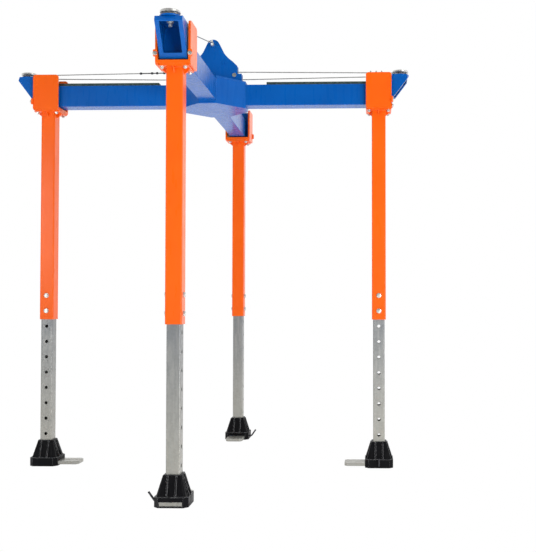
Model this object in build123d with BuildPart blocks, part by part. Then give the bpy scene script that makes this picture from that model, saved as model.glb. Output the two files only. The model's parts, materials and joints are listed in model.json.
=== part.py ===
"""Portable gantry crane: four telescopic legs under a cross of box beams.

Frame: origin on the ground under the hub, +Z up, +X along the right arm and -Y along the
front arm. Everything that repeats on the four arms is drawn once, on the +X arm, and turned.
"""
from build123d import *
import math
import os

os.makedirs("parts", exist_ok=True)

# ---------------------------------------------------------------- driving dimensions (mm)
ARM_TURNS = {"right": 0, "rear": 90, "left": 180, "front": 270}

leg_reach = 1444            # hub axis to leg axis
beam_underside = 3114       # height of the beams' lower faces
beam_height = 182
beam_width = 150
beam_wall = 8
beam_corner = 6

top_bar_height = 26         # bar welded along the top of each beam
top_bar_width = 112
top_bar_start = 470         # its inner end, from the hub axis

hub_half = 292              # hub axis to the face where a beam butts on
hub_proud = 27              # hub panels stand this far above and below the beams
hub_wall = 10
hub_cover = 12

leg_outer = 120             # orange tube
leg_inner = 100             # galvanised tube
leg_inner_wall = 8
leg_clearance = 0.5         # play between the tubes, each side
leg_outer_corner = 10
leg_inner_corner = 8
leg_outer_foot = 1260       # height of the outer tube's lower end
leg_inner_top = 1950        # height of the inner tube's upper end

index_pitch = 133
index_first = 270           # height of the lowest index hole
index_bore = 28
index_count = 13
lock_index = 8              # the lower lock bolt stands at this index hole
lock_count = 2
lock_shank = 20
lock_across = 36
lock_head = 15
lock_clearance = 0.3        # shank's end inside the tube's inner face

head_half_width = 97
head_height = 258           # the head's underside is level with the beam's
head_wall = 10
head_inner_end = 20         # inner end of the head, inward of the leg axis
head_tip = 250              # outer tip of the head, outward of the leg axis
head_lip = 34               # height of the blunt tip
head_lip_set_back = 10      # top corner of the tip, inward of the tip
head_tip_round = 8
head_slope = 53             # angle of the outer end plate to the ground
window_width = 134          # opening in the outer end plate
window_height = 226
window_margin = 8           # from the slope's upper edge to the window
window_round = 8
cutter_reach = 20           # how far a cutting shape stands clear of the plate that it cuts

sheave_offset = 188         # sheave axis, outward of the leg axis
collar_radius = 75
collar_height = 10
sheave_root = 46.5
sheave_rim = 71
sheave_groove = 18
sheave_rim_height = 18
sheave_rim_chamfer = 3
sheave_step = 0.3           # running gap under and over the sheave
post_radius = 15
post_fit = 0.1
post_cap_radius = 31
post_cap_height = 10
post_cap_round = 4
post_drop = 62              # post below the head's top face
post_nut_across = 46
post_nut_height = 24

fork_half_length = 110
fork_play = 12              # gap between the head's side and the fork's side plate
fork_plate = 16
fork_rise = 269             # top of the side plates above the beam's underside
fork_round = 22
rest_pad = 10               # pad between the seat plate and the head
rest_pad_inset = 8
seat_plate = 24
fork_skirt = 6              # side plates reach this far below the seat plate
ear_height = 50
ear_lift = 46               # middle of the ear above the seat plate
ear_depth = 12
ear_overlap = 2             # ear's root inside the side plate's edge
ear_reach = 12              # ear stands this far beyond the side plate
ear_round = 8
knob_across = 26
knob_height = 13
knob_offset = (-2, -4)       # fork bolt from the side plate's outer face, and from the ear's middle

flange_plate = 14
flange_play = 1
flange_chamfer = 16
flange_bolt_inset = 26      # flange bolt from the flange's edges
flange_bolt_across = 24
flange_bolt_shank = 16
flange_nut_height = 13
flange_bolt_end = 5         # thread that stands out of the nut
gusset_reach = 36
gusset_drop = 40
gusset_toe = 6              # blunt outer end of a gusset
gusset_plate = 8

mast_plate_thickness = 12
mast_gap = 40               # free space between the two mast plates
mast_height = 381           # above the hub's top plate
mast_nose = 56              # radius of the rounded top
mast_step_half = 250
mast_step_rise = 80         # rises are above the hub's top plate
mast_step_round = 26
mast_waist_half = 212
mast_shoulder_rise = 147
mast_shoulder_round = 12
mast_flare_top = (90, 269)  # the steep side turns into the hollow flare here
mast_flare_middle = (122, 229)
mast_flare_end = (168, 190)
mast_eye_drop = 51          # top pin below the plate's top

mast_sheave_x = 185
mast_sheave_rise = 67
mast_sheave_root = 29.7
mast_sheave_rim = 40
mast_sheave_width = 22
mast_sheave_flange = 5
mast_axle_radius = 10
mast_axle_cap = 18
mast_axle_cap_height = 8
mast_collar = 6             # wall of a spacer collar between the plates
mast_pin_radius = 12
top_pin_cap = 8
top_pin_cap_rim = 7         # cap's rim beyond the pin
mast_bolt_radius = 8
mast_bolt_rim = 6           # bolt's head beyond its shank
mast_bolt_head = 9
mast_bolt_x = 90            # two bolts in the flare, and one low in the middle
mast_bolt_rise = 177
mast_low_bolt_rise = 77

rope_diameter = 8
rope_gap = 0.3
buckle_outer = -650         # turnbuckle's ends along the left arm
buckle_inner = -402
buckle_radius = 10
buckle_body = 118
buckle_rod = 5
buckle_chamfer = 2
buckle_clamp = (20, 26, 16)
buckle_clamp_places = (26, 26)  # rope clamps from the body's end, and from the rod's end
fitting_round = 3
loop_tightness = 0.97       # bend of a rope's loop, as a share of what it goes round
eye_ring = 22
eye_wire = 7
eye_neck = 30
ferrule_wall = 2.5
ferrule_length = 46
ferrule_gap = 8             # between a ferrule's end and where the ropes part
stay_bend = 60              # bend radius of a stay where its two ropes part
ferrule_split = 0.4         # half the space between the two ropes in a ferrule
ring_eye_length = 70        # mast ring to the small eye's ferrule
head_eye_length = 300       # sheave axis to the large eye's ferrule
clip_pitch = 48
clip_first = -69            # first rope clip, from the leg axis
clip_count = 3
clip_block = (16, 30, 16)
clip_stud = 4
clip_stud_height = 12
clip_stud_inset = 7
clip_stud_root = 1

foot_half = 120
foot_chamfer = 32
foot_block = 72             # height of the foot's vertical part
foot_shoulder_half = 104
foot_shoulder_round = 24
foot_neck_half = 63
foot_neck_round = 10
foot_height = 216
foot_socket_floor = 62
foot_rib = 10
foot_rib_spread = 62
foot_rib_stand = 9
foot_rib_root = 14          # rib's root inside the neck, and inside the block
foot_rib_set_back = 6       # rib's toe from the block's face, and its head from the neck's top
foot_rib_toe = 8

bar_width = 162
bar_height = 28
bar_lift = 11               # underside of the bar above the ground
bar_inner = 295             # bar's inner end, inward of the leg axis
bar_clearance = 0.5
bar_outer_set_back = 6      # bar's outer end inside the foot's outer face
bar_bevel = 22
bar_groove = (14, 3)        # width and depth of the groove along its top

rod_radius = 7.5
rod_fit = 0.1
rod_out = 18                # straight part outside the foot
rod_reach = 44              # the lever's end beyond the straight part
rod_rise = 62
rod_bend = 14

# ---------------------------------------------------------------- derived places
beam_top = beam_underside + beam_height
hub_bottom = beam_underside - hub_proud
hub_top = beam_top + hub_proud
hub_flat_half = beam_width / 2
head_start = leg_reach - head_inner_end
head_top = beam_underside + head_height
seat_top = beam_underside - rest_pad
seat_bottom = seat_top - seat_plate
fork_inner_half = head_half_width + fork_play
fork_bottom = seat_bottom - fork_skirt
fork_top = beam_underside + fork_rise
flange_half = fork_inner_half - flange_play
flange_bolt_pitch = 2 * (flange_half - flange_bolt_inset)
leg_outer_top = seat_bottom - flange_plate
leg_cavity = leg_inner + 2 * leg_clearance
leg_wall = (leg_outer - leg_cavity) / 2
sheave_x = leg_reach + sheave_offset
collar_top = head_top + collar_height
sheave_bottom = collar_top + sheave_step
sheave_top = sheave_bottom + sheave_groove + sheave_rim_height
rope_radius = rope_diameter / 2
head_rope_radius = sheave_root + rope_radius + rope_gap
head_rope_z = sheave_bottom + sheave_groove / 2
mast_rope_radius = mast_sheave_root + rope_radius + rope_gap
mast_top = hub_top + mast_height
mast_step_top = hub_top + mast_step_rise
mast_shoulder_z = hub_top + mast_shoulder_rise
mast_eye_z = mast_top - mast_eye_drop
mast_sheave_z = hub_top + mast_sheave_rise
mast_bolt_places = [(-mast_bolt_x, hub_top + mast_bolt_rise), (mast_bolt_x, hub_top + mast_bolt_rise),
                    (0, hub_top + mast_low_bolt_rise)]
bar_z = bar_lift + bar_height / 2


def save(part, name):
    """Label a finished piece and write it to its own file."""
    part.label = name
    export_step(part, f"parts/{name}.step")


def save_on_arms(part, name):
    """Write one copy of an arm's piece for each of the four arms."""
    for side, turn in ARM_TURNS.items():
        save(part.rotate(Axis.Z, turn), f"{side}_{name}")


def save_group(part, name, turns):
    """Write copies of a piece, turned about the hub axis, as separate solids of one node."""
    copies = [part.rotate(Axis.Z, turn) for turn in turns]
    solids = [solid for copy in copies for solid in copy.solids()]
    save(Compound(children=solids), name)


def ring_section(plane, outer, wall, corner):
    """Sketch of a square tube's wall on a plane."""
    with BuildSketch(plane) as section:
        RectangleRounded(outer, outer, corner)
        RectangleRounded(outer - 2 * wall, outer - 2 * wall, max(corner - wall, 1), mode=Mode.SUBTRACT)
    return section.sketch


# ---------------------------------------------------------------- hub
def hub_outline(inset):
    """Octagon with four short flats for the beams and four long diagonal panels."""
    shift = inset * math.tan(math.radians(22.5))
    reach = hub_half - inset
    flat = hub_flat_half - shift
    return [(reach, -flat), (reach, flat), (flat, reach), (-flat, reach),
            (-reach, flat), (-reach, -flat), (-flat, -reach), (flat, -reach)]


with BuildPart() as hub_box:
    with BuildSketch(Plane.XY.offset(hub_bottom)):
        Polygon(*hub_outline(0), align=None)
    extrude(amount=hub_top - hub_cover - hub_bottom)
    with BuildSketch(Plane.XY.offset(hub_bottom + hub_wall)):
        Polygon(*hub_outline(hub_wall), align=None)
    extrude(amount=hub_top - hub_bottom, mode=Mode.SUBTRACT)
save(hub_box.part, "hub_box")

with BuildPart() as hub_top_plate:
    with BuildSketch(Plane.XY.offset(hub_top - hub_cover)):
        Polygon(*hub_outline(0), align=None)
    extrude(amount=hub_cover)
save(hub_top_plate.part, "hub_top_plate")

# ---------------------------------------------------------------- beams and their top bars
with BuildPart() as beam:
    with BuildSketch(Plane.YZ.offset(hub_half)) as beam_section:
        with Locations((0, beam_underside + beam_height / 2)):
            RectangleRounded(beam_width, beam_height, beam_corner)
            Rectangle(beam_width - 2 * beam_wall, beam_height - 2 * beam_wall, mode=Mode.SUBTRACT)
    extrude(amount=head_start - hub_half)
save_on_arms(beam.part, "beam")

with BuildPart() as top_bar:
    with BuildSketch(Plane.YZ.offset(top_bar_start)):
        with Locations((0, beam_top + top_bar_height / 2)):
            Rectangle(top_bar_width, top_bar_height)
    extrude(amount=head_start - top_bar_start)
save_group(top_bar.part, "beam_top_bars", ARM_TURNS.values())

# ---------------------------------------------------------------- arm heads
slope_run = (head_height - head_lip) / math.tan(math.radians(head_slope))
tip_x = leg_reach + head_tip
head_outline = [(head_start, beam_underside), (head_start, head_top), (tip_x - head_lip_set_back, head_top),
                (tip_x, head_top - head_lip), (tip_x - slope_run, beam_underside)]
slope_dir = Vector(-math.cos(math.radians(head_slope)), 0, -math.sin(math.radians(head_slope)))
slope_out = Vector(math.sin(math.radians(head_slope)), 0, -math.cos(math.radians(head_slope)))
slope_start = Vector(tip_x, 0, head_top - head_lip)
window_plane = Plane(origin=slope_start + slope_dir * (window_height / 2 + window_margin) + slope_out * cutter_reach,
                     x_dir=(0, 1, 0), z_dir=-slope_out)

with BuildPart() as head:
    with BuildSketch(Plane.XZ.offset(-head_half_width)):
        Polygon(*head_outline, align=None)
    extrude(amount=2 * head_half_width)
    tip_edges = head.edges().filter_by(Axis.Y).group_by(Axis.X)
    fillet(tip_edges[-1] + tip_edges[-2], head_tip_round)
    with BuildSketch(Plane.XZ.offset(-head_half_width + head_wall)) as head_room:
        Polygon(*head_outline, align=None)
        offset(amount=-head_wall, kind=Kind.INTERSECTION, mode=Mode.REPLACE)
    extrude(amount=2 * (head_half_width - head_wall), mode=Mode.SUBTRACT)
    with BuildSketch(window_plane):
        RectangleRounded(window_width, window_height, window_round)
    extrude(amount=cutter_reach + 2 * head_wall, mode=Mode.SUBTRACT)
    with BuildSketch(Plane.XY.offset(head_top)):
        with Locations((sheave_x, 0)):
            Circle(collar_radius)
    extrude(amount=collar_height)
    with BuildSketch(Plane.XY.offset(head_top - head_wall)):
        with Locations((sheave_x, 0)):
            Circle(post_radius + post_fit)
    extrude(amount=head_wall + collar_height, mode=Mode.SUBTRACT)
save_on_arms(head.part, "arm_head")

with BuildPart() as head_sheave:
    with BuildSketch(Plane.XY.offset(sheave_bottom)):
        with Locations((sheave_x, 0)):
            Circle(sheave_root)
    extrude(amount=sheave_groove)
    with BuildSketch(Plane.XY.offset(sheave_bottom + sheave_groove)):
        with Locations((sheave_x, 0)):
            Circle(sheave_rim)
    extrude(amount=sheave_rim_height)
    rim_edges = head_sheave.edges().filter_by(GeomType.CIRCLE).filter_by(lambda e: e.radius == sheave_rim)
    chamfer(rim_edges, sheave_rim_chamfer)
    with BuildSketch(Plane.XY.offset(sheave_bottom)):
        with Locations((sheave_x, 0)):
            Circle(post_radius + post_fit)
    extrude(amount=sheave_top - sheave_bottom, mode=Mode.SUBTRACT)
save_on_arms(head_sheave.part, "rope_sheave")

with BuildPart() as sheave_post:
    with BuildSketch(Plane.XY.offset(head_top - post_drop)):
        with Locations((sheave_x, 0)):
            Circle(post_radius)
    extrude(amount=sheave_top + sheave_step - head_top + post_drop)
    with BuildSketch(Plane.XY.offset(sheave_top + sheave_step)):
        with Locations((sheave_x, 0)):
            Circle(post_cap_radius)
    extrude(amount=post_cap_height)
    fillet(sheave_post.edges().group_by(Axis.Z)[-1], post_cap_round)
    with BuildSketch(Plane.XY.offset(head_top - head_wall - post_nut_height)):
        with Locations((sheave_x, 0)):
            RegularPolygon(post_nut_across / 2, 6, major_radius=False)
    extrude(amount=post_nut_height)
save_group(sheave_post.part, "sheave_posts", ARM_TURNS.values())

# ---------------------------------------------------------------- leg forks
ear_x = leg_reach + fork_half_length
ear_z = seat_top + ear_lift
knob_y = fork_inner_half + fork_plate + knob_offset[0]
knob_z = ear_z + knob_offset[1]

with BuildPart() as fork:
    for side in (-1, 1):
        with BuildSketch(Plane.XZ.offset(-side * (fork_inner_half + fork_plate / 2))) as side_plate:
            with Locations((leg_reach, (fork_bottom + fork_top) / 2)):
                Rectangle(2 * fork_half_length, fork_top - fork_bottom)
            fillet(side_plate.vertices().group_by(Axis.Z)[0], fork_round)
        extrude(amount=fork_plate / 2, both=True)
        with BuildSketch(Plane.YZ.offset(ear_x - ear_overlap)):
            with Locations((side * (fork_inner_half + (fork_plate + ear_reach) / 2), ear_z)):
                RectangleRounded(fork_plate + ear_reach, ear_height, ear_round)
        extrude(amount=ear_depth + ear_overlap)
    with BuildSketch(Plane.XY.offset(seat_bottom)) as seat:
        with Locations((leg_reach, 0)):
            Rectangle(2 * fork_half_length, 2 * fork_inner_half)
    extrude(amount=seat_plate)
    with BuildSketch(Plane.XY.offset(seat_bottom)):
        with Locations((leg_reach, 0)):
            with GridLocations(flange_bolt_pitch, flange_bolt_pitch, 2, 2):
                Circle(flange_bolt_shank / 2 + post_fit)
    extrude(amount=seat_plate, mode=Mode.SUBTRACT)
save_on_arms(fork.part, "leg_fork")

with BuildPart() as pad:
    with BuildSketch(Plane.XY.offset(seat_top)):
        with Locations((leg_reach, 0)):
            Rectangle(2 * (fork_half_length - rest_pad_inset), 2 * (head_half_width - rest_pad_inset))
    extrude(amount=rest_pad)
save_group(pad.part, "rest_pads", ARM_TURNS.values())

with BuildPart() as knob:
    with BuildSketch(Plane.YZ.offset(ear_x + ear_depth)):
        for side in (-1, 1):
            with Locations((side * knob_y, knob_z)):
                RegularPolygon(knob_across / 2, 6, major_radius=False)
    extrude(amount=knob_height)
save_group(knob.part, "fork_bolts", ARM_TURNS.values())

# ---------------------------------------------------------------- outer legs
tube_plane = Plane(origin=(leg_reach, 0, leg_outer_foot))
with BuildPart() as outer_leg:
    add(ring_section(tube_plane, leg_outer, leg_wall, leg_outer_corner))
    extrude(amount=leg_outer_top - leg_outer_foot)
    with BuildSketch(Plane.XY.offset(leg_outer_top)) as flange:
        with Locations((leg_reach, 0)):
            Rectangle(2 * flange_half, 2 * flange_half)
            chamfer(flange.vertices(), flange_chamfer)
            with GridLocations(flange_bolt_pitch, flange_bolt_pitch, 2, 2):
                Circle(flange_bolt_shank / 2 + post_fit, mode=Mode.SUBTRACT)
    extrude(amount=flange_plate)
    for turn in (0, 90, 180, 270):
        gusset_plane = Plane(origin=(leg_reach, 0, leg_outer_top), x_dir=Vector(1, 0, 0).rotate(Axis.Z, turn),
                             z_dir=Vector(0, -1, 0).rotate(Axis.Z, turn))
        with BuildSketch(gusset_plane):
            Polygon((leg_outer / 2 - 1, 0), (leg_outer / 2 + gusset_reach, 0),
                    (leg_outer / 2 + gusset_reach, -gusset_toe), (leg_outer / 2 - 1, -gusset_drop), align=None)
        extrude(amount=gusset_plate / 2, both=True)
    with BuildSketch(Plane.XZ):
        for step in range(lock_count):
            with Locations((leg_reach, index_first + (lock_index + step) * index_pitch)):
                Circle(lock_shank / 2 + post_fit)
    extrude(amount=leg_outer, both=True, mode=Mode.SUBTRACT)
save_on_arms(outer_leg.part, "outer_leg")

with BuildPart() as flange_bolt:
    with BuildSketch(Plane.XY.offset(leg_outer_top - flange_nut_height)):
        with Locations((leg_reach, 0)):
            with GridLocations(flange_bolt_pitch, flange_bolt_pitch, 2, 2):
                RegularPolygon(flange_bolt_across / 2, 6, major_radius=False)
    extrude(amount=flange_nut_height)
    with BuildSketch(Plane.XY.offset(leg_outer_top - flange_nut_height - flange_bolt_end)):
        with Locations((leg_reach, 0)):
            with GridLocations(flange_bolt_pitch, flange_bolt_pitch, 2, 2):
                Circle(flange_bolt_shank / 2)
    extrude(amount=flange_bolt_end + flange_nut_height + flange_plate + seat_plate)
save_group(flange_bolt.part, "flange_bolts", ARM_TURNS.values())

with BuildPart() as lock_bolt:
    for side in (-1, 1):
        for step in range(lock_count):
            height = index_first + (lock_index + step) * index_pitch
            face = Plane(origin=(leg_reach, side * leg_outer / 2, height), x_dir=(1, 0, 0), z_dir=(0, side, 0))
            with BuildSketch(face):
                RegularPolygon(lock_across / 2, 6, major_radius=False)
            extrude(amount=lock_head)
            with BuildSketch(face):
                Circle(lock_shank / 2)
            extrude(amount=-(leg_wall - lock_clearance))
save_group(lock_bolt.part, "lock_bolts", ARM_TURNS.values())

# ---------------------------------------------------------------- inner legs
with BuildPart() as inner_leg:
    add(ring_section(Plane(origin=(leg_reach, 0, foot_socket_floor)), leg_inner, leg_inner_wall,
                     leg_inner_corner))
    extrude(amount=leg_inner_top - foot_socket_floor)
    with BuildSketch(Plane.XZ):
        for step in range(index_count):
            with Locations((leg_reach, index_first + step * index_pitch)):
                Circle(index_bore / 2)
    extrude(amount=leg_inner, both=True, mode=Mode.SUBTRACT)
save_on_arms(inner_leg.part, "inner_leg")

# ---------------------------------------------------------------- feet
rib_root = foot_neck_half - foot_rib_root
rib_foot = foot_block - foot_rib_root
rib_toe = foot_half - foot_rib_set_back
rib_head = foot_height - foot_rib_set_back

with BuildPart() as foot:
    with BuildSketch(Plane.XY) as sole:
        with Locations((leg_reach, 0)):
            Rectangle(2 * foot_half, 2 * foot_half)
        chamfer(sole.vertices(), foot_chamfer)
    extrude(amount=foot_block)
    with BuildSketch(Plane.XY.offset(foot_block)):
        with Locations((leg_reach, 0)):
            RectangleRounded(2 * foot_shoulder_half, 2 * foot_shoulder_half, foot_shoulder_round)
    with BuildSketch(Plane.XY.offset(foot_height)):
        with Locations((leg_reach, 0)):
            RectangleRounded(2 * foot_neck_half, 2 * foot_neck_half, foot_neck_round)
    loft()
    for turn in (0, 90, 180, 270):
        rib_plane = Plane(origin=(leg_reach, 0, 0), x_dir=Vector(1, 0, 0).rotate(Axis.Z, turn),
                          z_dir=Vector(0, -1, 0).rotate(Axis.Z, turn))
        for place in (-1, 1):
            with BuildSketch(rib_plane.offset(place * foot_rib_spread / 2)):
                Polygon((rib_root, rib_foot), (rib_toe, rib_foot), (rib_toe, foot_block + foot_rib_toe),
                        (foot_neck_half + foot_rib_stand, rib_head), (rib_root, rib_head), align=None)
            extrude(amount=foot_rib / 2, both=True)
    with BuildSketch(Plane.XY.offset(foot_socket_floor)):
        with Locations((leg_reach, 0)):
            RectangleRounded(leg_cavity, leg_cavity, leg_inner_corner)
    extrude(amount=foot_height, mode=Mode.SUBTRACT)
    with BuildSketch(Plane.YZ.offset(leg_reach - foot_half)):
        with Locations((0, bar_z)):
            Rectangle(bar_width + 2 * bar_clearance, bar_height + 2 * bar_clearance)
    extrude(amount=2 * foot_half, mode=Mode.SUBTRACT)
    with BuildSketch(Plane.XZ.offset(bar_width / 2)):
        with Locations((leg_reach, bar_z)):
            Circle(rod_radius + rod_fit)
    extrude(amount=foot_half, mode=Mode.SUBTRACT)
save_on_arms(foot.part, "foot")

bar_start = leg_reach - bar_inner
bar_end = leg_reach + foot_half - bar_outer_set_back
with BuildPart() as foot_bar:
    with BuildSketch(Plane.XY.offset(bar_lift)) as bar_plan:
        with Locations(((bar_start + bar_end) / 2, 0)):
            Rectangle(bar_end - bar_start, bar_width)
        chamfer(bar_plan.vertices().group_by(Axis.X)[0], bar_bevel)
    extrude(amount=bar_height)
    with BuildSketch(Plane.YZ.offset(bar_start)):
        with Locations((0, bar_lift + bar_height - bar_groove[1] / 2)):
            Rectangle(bar_groove[0], bar_groove[1])
    extrude(amount=bar_end - bar_start, mode=Mode.SUBTRACT)
save_on_arms(foot_bar.part, "foot_bar")

rod_route = [(leg_reach, -bar_width / 2 - bar_clearance, bar_z),
             (leg_reach, -foot_half - rod_out, bar_z),
             (leg_reach, -foot_half - rod_out - rod_reach, bar_z + rod_rise)]
with BuildPart() as clamp_rod:
    with BuildLine() as rod_line:
        FilletPolyline(*rod_route, radius=rod_bend)
    with BuildSketch(Plane(origin=rod_route[0], z_dir=(0, -1, 0))):
        Circle(rod_radius)
    sweep()
save_on_arms(clamp_rod.part, "clamp_rod")

# ---------------------------------------------------------------- mast
nose_z = mast_top - mast_nose
flare_x, flare_z = mast_flare_top[0], hub_top + mast_flare_top[1]
nose_angle = math.degrees(math.atan2(nose_z - flare_z, flare_x))
nose_reach = math.hypot(flare_x, nose_z - flare_z)
tangent_turn = math.degrees(math.acos(mast_nose / nose_reach)) - nose_angle
nose_side = (mast_nose * math.cos(math.radians(tangent_turn)),
             nose_z + mast_nose * math.sin(math.radians(tangent_turn)))

for side, name in ((-1, "mast_plate_front"), (1, "mast_plate_rear")):
    with BuildPart() as mast_plate:
        with BuildSketch(Plane.XZ.offset(-side * (mast_gap + mast_plate_thickness) / 2)) as mast_sketch:
            with BuildLine():
                Polyline((0, hub_top), (mast_step_half, hub_top), (mast_step_half, mast_step_top),
                         (mast_waist_half, mast_step_top), (mast_waist_half, mast_shoulder_z),
                         (mast_flare_end[0], hub_top + mast_flare_end[1]))
                ThreePointArc((mast_flare_end[0], hub_top + mast_flare_end[1]),
                              (mast_flare_middle[0], hub_top + mast_flare_middle[1]), (flare_x, flare_z))
                Line((flare_x, flare_z), nose_side)
                ThreePointArc(nose_side, (mast_nose * math.sin(math.radians(45)),
                                          nose_z + mast_nose * math.cos(math.radians(45))), (0, mast_top))
                Line((0, mast_top), (0, hub_top))
            make_face()
            mirror(about=Plane.YZ)
            step_corners = [v for v in mast_sketch.vertices()
                            if abs(v.Z - mast_step_top) < 1 and abs(abs(v.X) - mast_step_half) < 1]
            fillet(step_corners, mast_step_round)
            shoulder_corners = [v for v in mast_sketch.vertices() if abs(v.Z - mast_shoulder_z) < 1]
            fillet(shoulder_corners, mast_shoulder_round)
        extrude(amount=mast_plate_thickness / 2, both=True)
        with BuildSketch(Plane.XZ):
            with Locations((0, mast_eye_z)):
                Circle(mast_pin_radius + post_fit)
            with Locations((-mast_sheave_x, mast_sheave_z), (mast_sheave_x, mast_sheave_z)):
                Circle(mast_axle_radius + post_fit)
            with Locations(*mast_bolt_places):
                Circle(mast_bolt_radius + post_fit)
        extrude(amount=mast_gap + mast_plate_thickness, both=True, mode=Mode.SUBTRACT)
    save(mast_plate.part, name)

mast_face = mast_gap / 2 + mast_plate_thickness

for place, name in ((-1, "mast_sheave_left"), (1, "mast_sheave_right")):
    with BuildPart() as mast_sheave:
        with BuildSketch(Plane.XZ):
            with Locations((place * mast_sheave_x, mast_sheave_z)):
                Circle(mast_sheave_root)
        extrude(amount=mast_sheave_width / 2, both=True)
        with BuildSketch(Plane.XZ.offset(-mast_sheave_width / 2),
                         Plane.XZ.offset(mast_sheave_width / 2 - mast_sheave_flange)):
            with Locations((place * mast_sheave_x, mast_sheave_z)):
                Circle(mast_sheave_rim)
        extrude(amount=mast_sheave_flange)
        with BuildSketch(Plane.XZ):
            with Locations((place * mast_sheave_x, mast_sheave_z)):
                Circle(mast_axle_radius + post_fit)
        extrude(amount=mast_sheave_width, both=True, mode=Mode.SUBTRACT)
    save(mast_sheave.part, name)


def cross_pin(places, radius, cap_radius, cap_height, collar_radius, collar_half):
    """Pins through both mast plates, with a cap at each end and a collar between the plates."""
    with BuildPart() as pin:
        with BuildSketch(Plane.XZ):
            with Locations(*places):
                Circle(radius)
        extrude(amount=mast_face, both=True)
        with BuildSketch(Plane.XZ.offset(mast_face), Plane.XZ.offset(-mast_face - cap_height)):
            with Locations(*places):
                Circle(cap_radius)
        extrude(amount=cap_height)
        if collar_radius > 0:
            with BuildSketch(Plane.XZ.offset(collar_half), Plane.XZ.offset(-mast_gap / 2)):
                with Locations(*places):
                    Circle(collar_radius)
            extrude(amount=mast_gap / 2 - collar_half)
    return pin.part


sheave_places = [(-mast_sheave_x, mast_sheave_z), (mast_sheave_x, mast_sheave_z)]
axle_collar_half = mast_sheave_width / 2 + sheave_step
save(cross_pin(sheave_places, mast_axle_radius, mast_axle_cap, mast_axle_cap_height,
               mast_axle_radius + mast_collar, axle_collar_half), "mast_sheave_axles")
save(cross_pin(mast_bolt_places, mast_bolt_radius, mast_bolt_radius + mast_bolt_rim, mast_bolt_head,
               mast_bolt_radius + mast_collar, 0), "mast_spacer_bolts")
save(cross_pin([(0, mast_eye_z)], mast_pin_radius, mast_pin_radius + top_pin_cap_rim, top_pin_cap,
               mast_pin_radius + mast_collar, 0), "mast_top_pin")

# ---------------------------------------------------------------- ropes and their fittings
eye_start = mast_face + top_pin_cap
eye_y = eye_start + eye_neck + eye_ring
for side, name in ((-1, "front_rope_eye"), (1, "rear_rope_eye")):
    with BuildPart() as rope_eye:
        with BuildSketch(Plane(origin=(0, side * eye_start, mast_eye_z), z_dir=(0, side, 0))):
            Circle(mast_pin_radius)
        extrude(amount=eye_neck)
        with BuildSketch(Plane(origin=(0, side * eye_y, mast_eye_z + eye_ring), x_dir=(1, 0, 0),
                               z_dir=(0, 1, 0))):
            Circle(eye_wire)
        revolve(axis=Axis((0, side * eye_y, mast_eye_z), (1, 0, 0)))
    save(rope_eye.part, name)


def rope(route, radii):
    """Rope of round section along straight runs joined by tangent arcs."""
    with BuildPart() as strand:
        with BuildLine() as route_line:
            FilletPolyline(*route, radius=radii)
        wire = route_line.wire()
        with BuildSketch(Plane(origin=wire @ 0, z_dir=wire % 0)):
            Circle(rope_radius)
        sweep()
    error = strand.part.volume / (math.pi * rope_radius ** 2 * wire.length) - 1
    print(f"rope length {wire.length:.0f}, radii {[round(r) for r in radii]}, volume error {error:.6f}")
    return strand.part


def loop_corner(run, offset, radius):
    """Sideways place of a route's corner, so that the run to it just clears a round thing.

    The run starts at a distance from the round thing's axis and at a sideways offset, and the
    corner lies one radius beyond the axis.
    """
    lean = math.asin(radius / math.hypot(run, offset)) - math.atan2(offset, run)
    return offset + math.tan(lean) * (run + radius)


# The arm rope is one loop round both side sheaves. It passes over and under the mast's two
# sheaves, and the turnbuckle closes it on the left arm.
far_x = sheave_x + head_rope_radius
over_z = mast_sheave_z + mast_rope_radius
under_z = mast_sheave_z - mast_rope_radius
loop_y = loop_corner(sheave_x - mast_sheave_x, 0, head_rope_radius)


def on_near_run(x):
    """Point of the rope's near run at a distance along the arm."""
    share = (far_x - abs(x)) / (far_x - mast_sheave_x)
    return Vector(x, -loop_y * (1 - share), head_rope_z + share * (over_z - head_rope_z))


loop_route = [on_near_run(buckle_outer),
              (-far_x, -loop_y, head_rope_z), (-far_x, loop_y, head_rope_z),
              (-mast_sheave_x, 0, under_z), (mast_sheave_x, 0, under_z),
              (far_x, loop_y, head_rope_z), (far_x, -loop_y, head_rope_z),
              (mast_sheave_x, 0, over_z), (-mast_sheave_x, 0, over_z),
              on_near_run(buckle_inner)]
head_turn = head_rope_radius * loop_tightness
loop_radii = [head_turn, head_turn, mast_rope_radius, mast_rope_radius,
              head_turn, head_turn, mast_rope_radius, mast_rope_radius]
save(rope(loop_route, loop_radii), "arm_rope")

buckle_length = (on_near_run(buckle_inner) - on_near_run(buckle_outer)).length
buckle_plane = Plane(origin=on_near_run(buckle_outer), x_dir=(0, 1, 0),
                     z_dir=on_near_run(buckle_inner) - on_near_run(buckle_outer))
with BuildPart() as turnbuckle:
    with BuildSketch(buckle_plane):
        Circle(buckle_radius)
    extrude(amount=buckle_body)
    chamfer(turnbuckle.edges().filter_by(GeomType.CIRCLE), buckle_chamfer)
    with BuildSketch(buckle_plane.offset(buckle_body)):
        Circle(buckle_rod)
    extrude(amount=buckle_length - buckle_body)
    for start in (buckle_body + buckle_clamp_places[0],
                  buckle_length - buckle_clamp_places[1] - buckle_clamp[2]):
        with BuildSketch(buckle_plane.offset(start)):
            RectangleRounded(buckle_clamp[0], buckle_clamp[1], fitting_round)
        extrude(amount=buckle_clamp[2])
save(turnbuckle.part, "turnbuckle")

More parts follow.
